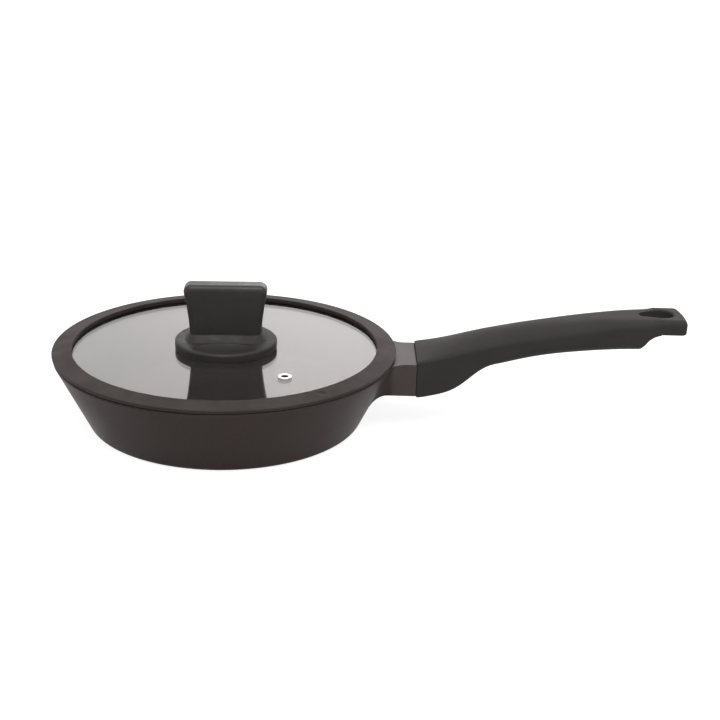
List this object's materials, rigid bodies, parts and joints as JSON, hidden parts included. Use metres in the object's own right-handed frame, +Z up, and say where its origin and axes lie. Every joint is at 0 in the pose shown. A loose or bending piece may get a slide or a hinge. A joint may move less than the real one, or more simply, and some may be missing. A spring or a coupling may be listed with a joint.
{
  "type": "lidded pan",
  "caption": "Low cast aluminium pan with a moulded handle and a flat glass lid in a silicone rim with a T-shaped knob.",
  "frame": {"origin": "centre of the pan's underside, on the surface it stands on", "axes": "+Z up along the pan's axis; +X from the pan's axis along the handle; the pan mirrors left and right about the XZ plane, apart from the lid's vent and turned knob"},
  "size_m": [0.3901, 0.212, 0.0863],
  "materials": {
    "pan_metal": "cast aluminium with a matte dark grey-brown coating, inside non-stick",
    "plate_steel": "perforated ferritic steel disc, pressed flush and turned",
    "fastener_steel": "plain zinc-plated steel",
    "handle_moulding": "phenolic moulding with a soft-touch dark grey finish",
    "rim_silicone": "dark grey silicone rubber, satin",
    "glass": "clear tempered glass, polished",
    "vent_steel": "polished stainless steel eyelet",
    "knob_moulding": "phenolic moulding with a soft-touch dark grey finish",
    "insert_brass": "turned brass",
    "seal_silicone": "dark silicone washer"
  },
  "bodies": {
    "pan": {"pan_body": "pan_metal", "induction_plate": "plate_steel", "lug_insert": "fastener_steel", "handle": "handle_moulding", "handle_screw": "fastener_steel", "handle_washer": "fastener_steel"},
    "lid": {"lid_glass": "glass", "lid_rim": "rim_silicone", "vent_eyelet": "vent_steel", "knob": "knob_moulding", "knob_insert": "insert_brass", "knob_seal": "seal_silicone", "knob_bush": "seal_silicone", "knob_washer": "fastener_steel", "knob_screw": "fastener_steel"}
  },
  "joints": [
    {"name": "lid_lift", "type": "slide", "parent": "pan", "child": "lid", "axis": [0, 0, 1], "range_m": [0, 0.15]}
  ]
}
